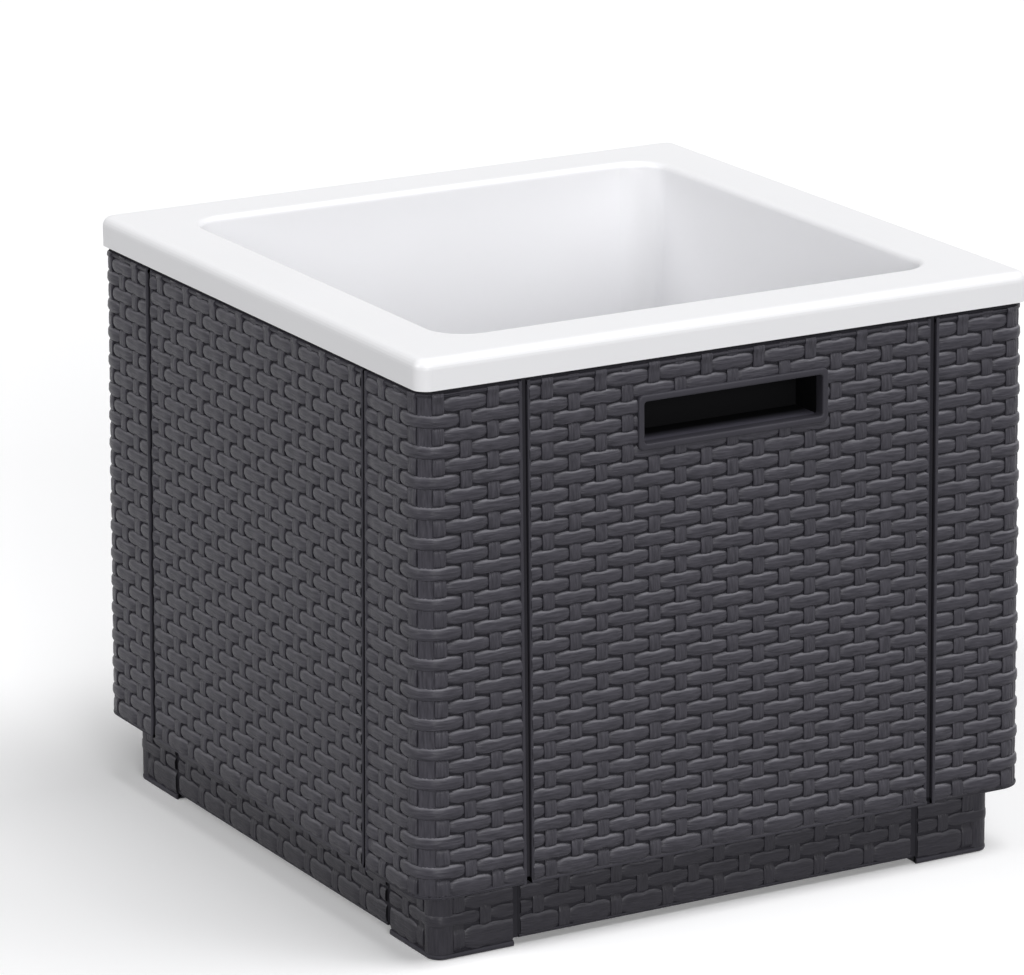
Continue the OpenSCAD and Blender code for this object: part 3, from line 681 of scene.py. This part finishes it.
middle_rows = [(FIRST_COURSE - COURSE_PITCH * row, ROW_HALF) for row in range(1, COURSES - 1)]
wall_rows = [(FIRST_COURSE, TOP_HALF), *middle_rows, (LAST_COURSE, FOOT_HALF)]
panel_stakes = [(k, k * STAKE_PITCH) for k in range(-8, 9)]
post_stakes = corner_stakes(HALF_TURN + ARC_CENTRE, (8, 9, 10, 11))
foot_stakes = corner_stakes(PLINTH_HALF_TURN + PLINTH_CENTRE, (8, 9, 10))
post_corner = post_stakes[-1][1]
foot_corner = foot_stakes[-1][1]
print(len(wall_rows), "courses, corner stakes", round(2 * post_corner, 1), "mm apart")

# %% [markdown]
# Behind the weave lies a plain sheet, and at its top a lip that stands up inside the tub's rim. Sheet,
# hems and borders all keep one outline along the wall, so each is that outline as one face, extruded
# from station to station. On a corner the stations lie close together where the wall bends. The long
# edges of a hem are then bevelled, and a bar without a radius is one that lies in shade: its darker
# finish is painted shade.

# %% Straight and bent bars
PLAIN, PAINTED_DARK = 1, 2
BEND_STEPS = 14
FOLD = 0.5
HARDLY = 1e-6


def rectangle(left, right, low, high):
    """Four corners, anticlockwise from the lower left."""
    return ((left, low), (right, low), (right, high), (left, high))


def corner_stations(stop, half_turn):
    """Stations along a corner: its two ends, and close steps round the bend."""
    bend = [half_turn * (2 * i / BEND_STEPS - 1) for i in range(BEND_STEPS + 1)]
    return [-stop] + bend + [stop]


def pulled(bm, faces, move):
    """Extrudes faces along a vector, and returns the points and faces at its end."""
    grown = bmesh.ops.extrude_face_region(bm, geom=faces)["geom"]
    verts = [g for g in grown if isinstance(g, bmesh.types.BMVert)]
    bmesh.ops.translate(bm, verts=verts, vec=move)
    return verts, [g for g in grown if isinstance(g, bmesh.types.BMFace)]


def upright_edges(bm):
    """The edges that climb more than a millimetre."""
    return [e for e in bm.edges if abs(e.verts[0].co.z - e.verts[1].co.z) > 1]


def rounded(bm, edges, radius, segments):
    """Bevels edges to a radius."""
    bmesh.ops.bevel(
        bm, geom=edges, offset=radius, segments=segments, profile=0.5, affect="EDGES", material=-1
    )


def dressed(faces, material):
    """Gives faces smooth shading and their number in a wall's list of finishes."""
    for face in faces:
        face.material_index = material
        face.smooth = True


def lay_bar(bm, outline, stations, edge):
    """Extrudes an outline of (y, z) points from station to station, and rounds its long edges."""
    face = bm.faces.new([bm.verts.new((stations[0], y, z)) for y, z in outline])
    made = {face}
    for before, after in zip(stations, stations[1:]):
        verts, faces = pulled(bm, [face], (after - before, 0, 0))
        face = faces[0]
        made.add(face)
        made.update(f for v in verts for f in v.link_faces)
    made = [f for f in made if f.is_valid]
    bmesh.ops.recalc_face_normals(bm, faces=made)
    if edge:
        folds = {e for f in made for e in f.edges if e.calc_face_angle(0) > FOLD}
        along = [e for e in folds if abs((e.verts[0].co - e.verts[1].co).x) > HARDLY]
        rounded(bm, along, edge, 2)


def plain_part(bars):
    """Bars that share one part, each (outline, stations, edge radius)."""
    bm = bmesh.new()
    for outline, stations, edge in bars:
        before = len(bm.faces)
        lay_bar(bm, outline, stations, edge)
        bm.faces.ensure_lookup_table()
        # Bars without a radius take the darker finish, which is painted shade.
        dressed(bm.faces[before:], PLAIN if edge else PAINTED_DARK)
    return bm


print("a bar round a corner has", len(corner_stations(POST_PATH, HALF_TURN)), "stations")

# %% [markdown]
# The outlines are cuts through the wall, out to the right and up. The skins and sheets lie behind the
# weave, and the hems end it above and below. Behind each seam the parts lap over one another, so that
# no light shows through. A shelf closes the step from the wall back to the plinth.

# %% Outlines
SUNK = BACK - 0.2
SHEET_BACK = -6.4
SKIN_BACK = -3.4
LIP_FACE = -3.6
LIP_CHAMFER = 1.2
TONGUE_FOOT = 46.8
HEM_EDGE = 0.7
SKIRT_FOOT = 4.8
SHELF_INSET = 1.5
SHELF_TOP = WALL_FOOT + 3
SHELF_REACH = wall_reach(WALL_FOOT) + ARC_CENTRE - PLINTH_HALF - SHELF_INSET

LIP = ((LIP_FACE, LIP_TOP - LIP_CHAMFER), (LIP_FACE - LIP_CHAMFER, LIP_TOP), (SHEET_BACK, LIP_TOP))
SHEET_OUTLINE = (
    (BACK, WALL_FOOT), (BACK, WALL_TOP), (LIP_FACE, WALL_TOP), *LIP, (SHEET_BACK, WALL_FOOT),
)
TONGUE_OUTLINE = ((LIP_FACE, TONGUE_FOOT), *LIP, (SHEET_BACK, TONGUE_FOOT))
POST_SKIN = rectangle(SKIN_BACK, BACK, WALL_FOOT, WALL_TOP)
POST_INNER = ((SKIN_BACK, WALL_FOOT), (SKIN_BACK, WALL_TOP), *LIP, (SHEET_BACK, WALL_FOOT))
SEAM_BACKING = ((-6.6, WALL_FOOT), (-6.6, WALL_TOP), (-9.2, WALL_TOP), (-9.2, WALL_FOOT))
UPPER_HEM = (
    (SUNK, 341.5), (-1.5, 341.5), (-0.7, WALL_TOP - 1.9), (-1.9, WALL_TOP - 0.7), (SUNK, WALL_TOP - 0.6),
)
LOWER_HEM = ((SUNK, WALL_FOOT), (-0.6, WALL_FOOT), (-0.6, 45.4), (SUNK, 46.6))

PLINTH_BACK = -4
PLINTH_SHEET = rectangle(PLINTH_BACK, -1.8, SKIRT_FOOT, WALL_FOOT + 1)
PLINTH_HEM = rectangle(-3, -0.8, SKIRT_FOOT, 6.6)
PLINTH_SHELF = rectangle(PLINTH_BACK, SHELF_REACH, WALL_FOOT, SHELF_TOP)
PLINTH_LAP = rectangle(PLINTH_BACK, -2.2, SKIRT_FOOT, WALL_FOOT - 0.3)
PLINTH_HEM_EDGE = 0.6
FOOT_SHEET = rectangle(PLINTH_BACK, -1.8, 0.4, WALL_FOOT + 1)
FOOT_HEM = rectangle(-3, -0.3, 0.0, 3.6)
FOOT_HEM_EDGE = 1.2
print("the lip stands", round(LIP_TOP - WALL_TOP, 1), "mm above the wall, inside the tub's rim")

# %% [markdown]
# The hand grip's raised frame starts as a flat plate. Insetting it and deleting its middle leaves a ring
# of faces, which is extruded out of the wall. Its upright edges are the frame's corners, so they get
# the larger radii, and the front edges are softened last. The weave and the sheet are cut away behind it.

# %% Hand grip frame
GRIP_HEIGHT = 309.0
GRIP_W, GRIP_H, GRIP_FRAME = 121.0, 25.0, 4.0
GRIP_CORNER, FRAME_CORNER = 2.0, 3.5
FRAME_DEPTH, FRAME_SUNK, FRAME_EDGE = 7.4, 6.4, 1.2
WEAVE_UNDER_FRAME = 1
SHEET_BEHIND_FRAME = 1.5


def grip_frame():
    """The raised frame round a grip, in unrolled wall coordinates."""
    bm = bmesh.new()
    bmesh.ops.create_grid(bm, x_segments=1, y_segments=1, size=0.5)
    outside = (GRIP_W + 2 * GRIP_FRAME, GRIP_H + 2 * GRIP_FRAME, 1)
    bmesh.ops.scale(bm, verts=bm.verts[:], vec=outside)
    plate = bm.faces[:]
    bmesh.ops.inset_region(
        bm, faces=plate, thickness=GRIP_FRAME, use_boundary=True, use_even_offset=True
    )
    bmesh.ops.delete(bm, geom=plate, context="FACES")
    pulled(bm, bm.faces[:], (0, 0, FRAME_DEPTH))
    bmesh.ops.recalc_face_normals(bm, faces=bm.faces[:])
    upright = upright_edges(bm)
    inner = [e for e in upright if abs(e.verts[0].co.x) < GRIP_W / 2 + 1]
    outer = [e for e in upright if e not in inner]
    rounded(bm, outer, FRAME_CORNER, 6)
    rounded(bm, inner, GRIP_CORNER, 6)
    front = [e for e in bm.edges if all(v.co.z > FRAME_DEPTH / 2 for v in e.verts)]
    rounded(bm, [e for e in front if e.calc_face_angle(0) > FOLD], FRAME_EDGE, 4)
    for vert in bm.verts:
        vert.co = (vert.co.x, vert.co.z - FRAME_SUNK, vert.co.y + GRIP_HEIGHT)
    dressed(bm.faces, PLAIN)
    bmesh.ops.reverse_faces(bm, faces=bm.faces[:])
    return bm


def cut_for_grip(bm):
    """Takes away the weave inside a grip's frame."""
    half_w = GRIP_W / 2 + GRIP_FRAME - WEAVE_UNDER_FRAME
    half_h = GRIP_H / 2 + GRIP_FRAME - WEAVE_UNDER_FRAME
    inside = [
        f for f in bm.faces
        if all(abs(v.co.x) < half_w and abs(v.co.z - GRIP_HEIGHT) < half_h for v in f.verts)
    ]
    bmesh.ops.delete(bm, geom=inside, context="FACES")


def open_for_grip(bm):
    """Opens a plain sheet behind a grip, cut along four planes."""
    half_w = GRIP_W / 2 + SHEET_BEHIND_FRAME
    half_h = GRIP_H / 2 + SHEET_BEHIND_FRAME
    planes = (
        ((half_w, 0, 0), (1, 0, 0)), ((-half_w, 0, 0), (1, 0, 0)),
        ((0, 0, GRIP_HEIGHT + half_h), (0, 0, 1)), ((0, 0, GRIP_HEIGHT - half_h), (0, 0, 1)),
    )
    for spot, direction in planes:
        bmesh.ops.bisect_plane(
            bm, geom=bm.verts[:] + bm.edges[:] + bm.faces[:], plane_co=spot, plane_no=direction
        )
    middles = [(f, f.calc_center_median()) for f in bm.faces]
    inside = [f for f, at in middles if abs(at.x) < half_w and abs(at.z - GRIP_HEIGHT) < half_h]
    bmesh.ops.delete(bm, geom=inside, context="FACES")


print("a grip's frame is", GRIP_W + 2 * GRIP_FRAME, "by", GRIP_H + 2 * GRIP_FRAME, "mm")

# %% [markdown]
# A wall is woven between two borders, rounded bars along its seams, and the strands run into them. A
# stake that would stand in a border is left out.

# %% Woven sheets and borders
SEAM_TUCK = 1
STAKE_CLEAR = 4
BORDER_WIDTH = 2.2
BORDER_EDGE = 0.9


def woven_sheet(path, stakes, rows, low, high, parity, corner, seed, tuck=SEAM_TUCK):
    """A stretch of weave between two seams, at -path and path, as a part of its own."""
    bm = bmesh.new()
    bm.loops.layers.uv.new("grain")
    bm.loops.layers.uv.new("relief")
    weave(bm, path - tuck, stakes, rows, parity, corner, seed)
    shown = [(number, place) for number, place in stakes if abs(place) < path - STAKE_CLEAR]
    raise_stakes(bm, shown, rows, low, high, parity, seed)
    return bm


def border_part(path, crown):
    """Rounded borders along the seams at -path and path, standing from hem to hem."""
    bm = bmesh.new()
    for start in (-path, path - BORDER_WIDTH):
        square = rectangle(start, start + BORDER_WIDTH, crown, SUNK)
        face = bm.faces.new([bm.verts.new((x, y, WALL_FOOT)) for x, y in square])
        pulled(bm, [face], (0, 0, WALL_TOP - WALL_FOOT))
    bmesh.ops.recalc_face_normals(bm, faces=bm.faces[:])
    front = [e for e in upright_edges(bm) if all(v.co.y > BACK for v in e.verts)]
    rounded(bm, front, BORDER_EDGE, 3)
    dressed(bm.faces, PLAIN)
    return bm


print("a border is", BORDER_WIDTH, "mm wide")

# %% [markdown]
# All the parts of one wall are joined into one piece, turned to its side of the stool, and handed to the
# frame: the piece rides on the shell and stands in for the solid model's own wall. Faces that meet at a
# small angle are shaded smooth, and the others keep a crisp edge between them.

# %% Whole pieces
SHARP_FROM = 0.6


def woven_piece(name, node, parts, angle):
    """Joins parts, turns them to their side of the stool and hands them to the frame."""
    joined = bmesh.new()
    joined.loops.layers.uv.new("grain")
    joined.loops.layers.uv.new("relief")
    scratch = bpy.data.meshes.new("scratch")
    for part in parts:
        part.to_mesh(scratch)
        joined.from_mesh(scratch)
        part.free()
    bpy.data.meshes.remove(scratch)
    to_side = Matrix.Rotation(angle, 3, "Z")
    bmesh.ops.rotate(joined, verts=joined.verts[:], cent=(0, 0, 0), matrix=to_side)
    mesh = bpy.data.meshes.new(name)
    joined.to_mesh(mesh)
    joined.free()
    for material in (woven, graphite, shade_painted):
        mesh.materials.append(material)
    mesh.set_sharp_from_angle(angle=SHARP_FROM)
    obj = bpy.data.objects.new(name, mesh)
    bpy.context.scene.collection.objects.link(obj)
    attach(obj, "shell")
    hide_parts(node)
    print(name, len(mesh.polygons), "faces")


print("faces meet crisply from", round(math.degrees(SHARP_FROM)), "degrees")

# %% [markdown]
# A panel is a wall and, below it, a plinth: a second, shorter weave that stands back behind the wall's
# foot and is shallower. The front and the back panel also carry a hand grip. The side walls are the
# same without one.

# %% Wall panels
STAKES_FOOT = WALL_FOOT + 1.2
STAKES_TOP = WALL_TOP - 0.5
PANEL_CROWN = -0.8
TONGUE_REACH = 150
LAP_REACH = 146.5
PLINTH_ROWS = ((32.6, 4.4), (23.4, 4.1), (11.9, 6.4))
PLINTH_STAKES_FOOT = SKIRT_FOOT + 0.8
PLINTH_SHRINK = 0.6
PANEL_SEED, PLINTH_SEED = 50, 90


def flatten_plinth(bm):
    """The plinth's weave is shallower than the wall's."""
    for vert in bm.verts:
        vert.co.y *= PLINTH_SHRINK


def panel_wall(seed, grip):
    """The woven wall of a panel with its sheet, hems and borders, and its grip if it has one."""
    span = [-PANEL_EDGE, PANEL_EDGE]
    weave_part = woven_sheet(
        PANEL_EDGE, panel_stakes, wall_rows, STAKES_FOOT, STAKES_TOP, 0, None, seed
    )
    sheet = plain_part([
        (SHEET_OUTLINE, span, 0),
        (UPPER_HEM, span, HEM_EDGE),
        (LOWER_HEM, span, HEM_EDGE),
    ])
    tongue = plain_part([(TONGUE_OUTLINE, [-TONGUE_REACH, TONGUE_REACH], 0)])
    parts = [weave_part, sheet, tongue, border_part(PANEL_EDGE, PANEL_CROWN)]
    if grip:
        cut_for_grip(weave_part)
        open_for_grip(sheet)
        open_for_grip(tongue)
        parts.append(grip_frame())
    return [bent(part, straight_place) for part in parts]


def panel_plinth(seed):
    """The plinth of a panel, with the shelf above it and the lap behind its seams."""
    span = [-PANEL_EDGE, PANEL_EDGE]
    weave_part = woven_sheet(
        PANEL_EDGE, panel_stakes, PLINTH_ROWS, PLINTH_STAKES_FOOT, WALL_FOOT, 1, None, seed
    )
    flatten_plinth(weave_part)
    plain = plain_part([
        (PLINTH_SHEET, span, 0),
        (PLINTH_HEM, span, PLINTH_HEM_EDGE),
        (PLINTH_SHELF, span, 0),
    ])
    lap = plain_part([(PLINTH_LAP, [-LAP_REACH, LAP_REACH], 0)])
    return [bent(part, straight_plinth_place) for part in (weave_part, plain, lap)]


sides = (("right", 0.0), ("back", math.pi / 2), ("left", math.pi), ("front", -math.pi / 2))
for side, angle in sides:
    seed = round(angle * 10) + PANEL_SEED
    parts = panel_wall(seed, side in ("front", "back")) + panel_plinth(seed + PLINTH_SEED)
    woven_piece(side + "_panel_woven", side + "_panel", parts, angle)

# %% [markdown]
# A corner post is woven like a panel, but its unrolled weave is bent round the corner. Below the wall it
# ends in a foot, whose sole stands on the floor. The sole, and the shelf above the foot, are square
# plates with one rounded corner, so each starts as a flat square whose outer corner is bevelled, and it
# is extruded upwards.

# %% Corner posts
POST_CROWN = -0.2
POST_SEED, STRIP_SEED = 400, 7
STRIP_TOP = WALL_TOP - 0.8
STRIP_SURFACE, STRIP_HALF = -1.35, 5.6
INNER_PATH = POST_PATH - 10
BACKING_PATH = POST_PATH - 12
FOOT_ROWS = ((32.6, 4.4), (23.4, 4.1), (10.6, 7.5))
FOOT_LOW = 1.4
FOOT_TUCK = 0.6
FOOT_STRIP_SURFACE, FOOT_STRIP_HALF = -0.9, foot_corner - 3.6
SOLE_INSET, SOLE_TOP, SOLE_EDGE = 2, 4.4, 1.2


def corner_plate(outer, radius, low, high, edge):
    """A square plate in the corner between +X and +Y, with its outer corner rounded."""
    bm = bmesh.new()
    square = rectangle(POST_EDGE, outer, POST_EDGE, outer)
    bm.faces.new([bm.verts.new((x, y, low)) for x, y in square])
    tip = [v for v in bm.verts if v.co.x > POST_EDGE + 1 and v.co.y > POST_EDGE + 1]
    bmesh.ops.bevel(
        bm, geom=tip, offset=radius, segments=8, profile=0.5, affect="VERTICES", material=-1
    )
    pulled(bm, bm.faces[:], (0, 0, high - low))
    bmesh.ops.recalc_face_normals(bm, faces=bm.faces[:])
    if edge:
        rim = [e for e in bm.edges if all(v.co.z < (low + high) / 2 for v in e.verts)]
        rounded(bm, rim, edge, 3)
    for vert in bm.verts:
        vert.co *= MM
    dressed(bm.faces, PLAIN)
    return bm


def post_wall(seed):
    """The woven wall of a post, with its skin, lip, hems and borders."""
    weave_part = woven_sheet(
        POST_PATH, post_stakes, wall_rows, STAKES_FOOT, STAKES_TOP, 0, post_corner, seed
    )
    fill_corner(weave_part, STAKES_FOOT, STRIP_TOP, STRIP_SURFACE, STRIP_HALF, seed + STRIP_SEED)
    bend = corner_stations(POST_PATH, HALF_TURN)
    plain = plain_part([
        (POST_SKIN, bend, 0),
        (UPPER_HEM, bend, HEM_EDGE),
        (LOWER_HEM, bend, HEM_EDGE),
        (POST_INNER, corner_stations(INNER_PATH, HALF_TURN), 0),
        (SEAM_BACKING, [BACKING_PATH, POST_PATH], 0),
        (SEAM_BACKING, [-POST_PATH, -BACKING_PATH], 0),
    ])
    parts = (weave_part, plain, border_part(POST_PATH, POST_CROWN))
    return [bent(part, corner_place) for part in parts]


def post_foot(seed):
    """The foot of a post, with its sole and the shelf above it."""
    weave_part = woven_sheet(
        PLINTH_PATH, foot_stakes, FOOT_ROWS, FOOT_LOW, WALL_FOOT, 1, foot_corner, seed, FOOT_TUCK
    )
    fill_corner(
        weave_part, FOOT_LOW, WALL_FOOT, FOOT_STRIP_SURFACE, FOOT_STRIP_HALF, seed + STRIP_SEED
    )
    flatten_plinth(weave_part)
    bend = corner_stations(PLINTH_PATH, PLINTH_HALF_TURN)
    plain = plain_part([(FOOT_SHEET, bend, 0), (FOOT_HEM, bend, FOOT_HEM_EDGE)])
    parts = [bent(part, corner_plinth_place) for part in (weave_part, plain)]
    shelf_radius = wall_reach(WALL_FOOT) - SHELF_INSET
    sole = corner_plate(PLINTH_HALF - SOLE_INSET, PLINTH_RADIUS - SOLE_INSET, 0, SOLE_TOP, SOLE_EDGE)
    shelf = corner_plate(ARC_CENTRE + shelf_radius, shelf_radius, WALL_FOOT, SHELF_TOP, 0)
    return parts + [sole, shelf]


corners = (
    ("back_right", 0.0), ("back_left", math.pi / 2), ("front_left", math.pi),
    ("front_right", -math.pi / 2),
)
for corner_name, angle in corners:
    seed = round(angle * 10) + POST_SEED
    parts = post_wall(seed) + post_foot(seed + PLINTH_SEED)
    node = "corner_post_" + corner_name
    woven_piece(node + "_woven", node, parts, angle)

# %% [markdown]
# The floor is white, and the picture's background has no edge, so the floor's own colour carries it.
# A camera ray sees a little light added to the floor, which turns the open floor white and leaves the
# soft shadow beside the stool grey. Rays of gloss and glass see the same. The light that the floor
# throws back is held low, because in the photo the recessed plinth is much darker than the walls above.

# %% Floor
FLOOR_SHADES = ((0.9, 0.9, 0.91), (0.92, 0.92, 0.93))
FLOOR_RETURN_SHADES = ((0.19, 0.19, 0.19), (0.21, 0.21, 0.21))
FLOOR_CLOUDS = 3
FLOOR_LIFT = 0.13
FLOOR_HALF = 20
FLOOR_DROP = 0.0002
WHITE_LIGHT = (1.0, 1.0, 1.0)


def floor_finish():
    """Matt white that looks brighter to the camera than it lights the stool."""
    recipe = Recipe(bpy.data.materials.new("floor_white"))
    speck = recipe.noise(recipe.object_place(), FLOOR_CLOUDS)
    pale = recipe.mixed(speck, *FLOOR_SHADES)
    dull = recipe.mixed(speck, *FLOOR_RETURN_SHADES)
    seen = recipe.add("ShaderNodeBsdfDiffuse", None, {"Color": pale})
    lift = recipe.add("ShaderNodeEmission", None, {"Color": WHITE_LIGHT, "Strength": FLOOR_LIFT})
    both = recipe.add("ShaderNodeAddShader", None, {0: seen, 1: lift})
    rest = recipe.add("ShaderNodeBsdfDiffuse", None, {"Color": dull})
    chosen = recipe.add("ShaderNodeMixShader", None, {0: recipe.plain_sight(), 1: rest, 2: both})
    return recipe.end("ShaderNodeOutputMaterial", chosen)


floor_bm = bmesh.new()
bmesh.ops.create_grid(floor_bm, x_segments=1, y_segments=1, size=FLOOR_HALF)
floor_mesh = bpy.data.meshes.new("floor")
floor_bm.to_mesh(floor_mesh)
floor_bm.free()
floor_mesh.materials.append(floor_finish())
floor = bpy.data.objects.new("floor", floor_mesh)
floor.location.z = -FLOOR_DROP
bpy.context.scene.collection.objects.link(floor)
print("the floor is", 2 * FLOOR_HALF, "m wide")

# %% [markdown]
# The light is soft and comes from four suns. One almost overhead lights the rim. One high on the right
# lights the front wall's upper edges and lays the stool's shadow on the floor to the left. A low one in
# front and a low one on the left light the two walls, and their shadows fall behind the stool and to its
# right, where they hardly show. A sun is as strong far away as near, so the floor stays even.

# %% Lamps
def soft_sun(name, towards, width, power):
    """A sun that shines from a direction. width is the angle of its disc, and makes its shadow soft."""
    data = bpy.data.lights.new(name, "SUN")
    data.angle = width
    data.energy = power
    lamp = bpy.data.objects.new(name, data)
    lamp.matrix_world = Vector(towards).to_track_quat("Z", "Y").to_matrix().to_4x4()
    bpy.context.scene.collection.objects.link(lamp)


soft_sun("high_sun", (0.09, -0.3, 0.95), 0.5, 1.22)
soft_sun("right_sun", (0.57, -0.29, 0.77), 0.75, 1.22)
soft_sun("front_sun", (-0.25, -0.93, 0.27), 0.4, 1.8)
soft_sun("left_sun", (-0.9, 0.1, 0.42), 0.5, 1.25)
print(len(bpy.data.lights), "suns light the stool")

# %% [markdown]
# Rays of the camera, of gloss and of glass find a plain white world. To all other rays the world is very
# dim, and only keeps the deepest shadows from going black. A Mix Shader chooses between the two.

# %% World
WORLD_SEEN, WORLD_FILL = 1.0, 0.05

studio = Recipe(bpy.data.worlds.new("studio"))
seen = studio.add("ShaderNodeBackground", None, {"Color": WHITE_LIGHT, "Strength": WORLD_SEEN})
fill = studio.add("ShaderNodeBackground", None, {"Color": WHITE_LIGHT, "Strength": WORLD_FILL})
chosen = studio.add("ShaderNodeMixShader", None, {0: studio.plain_sight(), 1: fill, 2: seen})
bpy.context.scene.world = studio.end("ShaderNodeOutputWorld", chosen)
bpy.context.scene.view_settings.view_transform = "Standard"
print("the world is", bpy.context.scene.world.name)
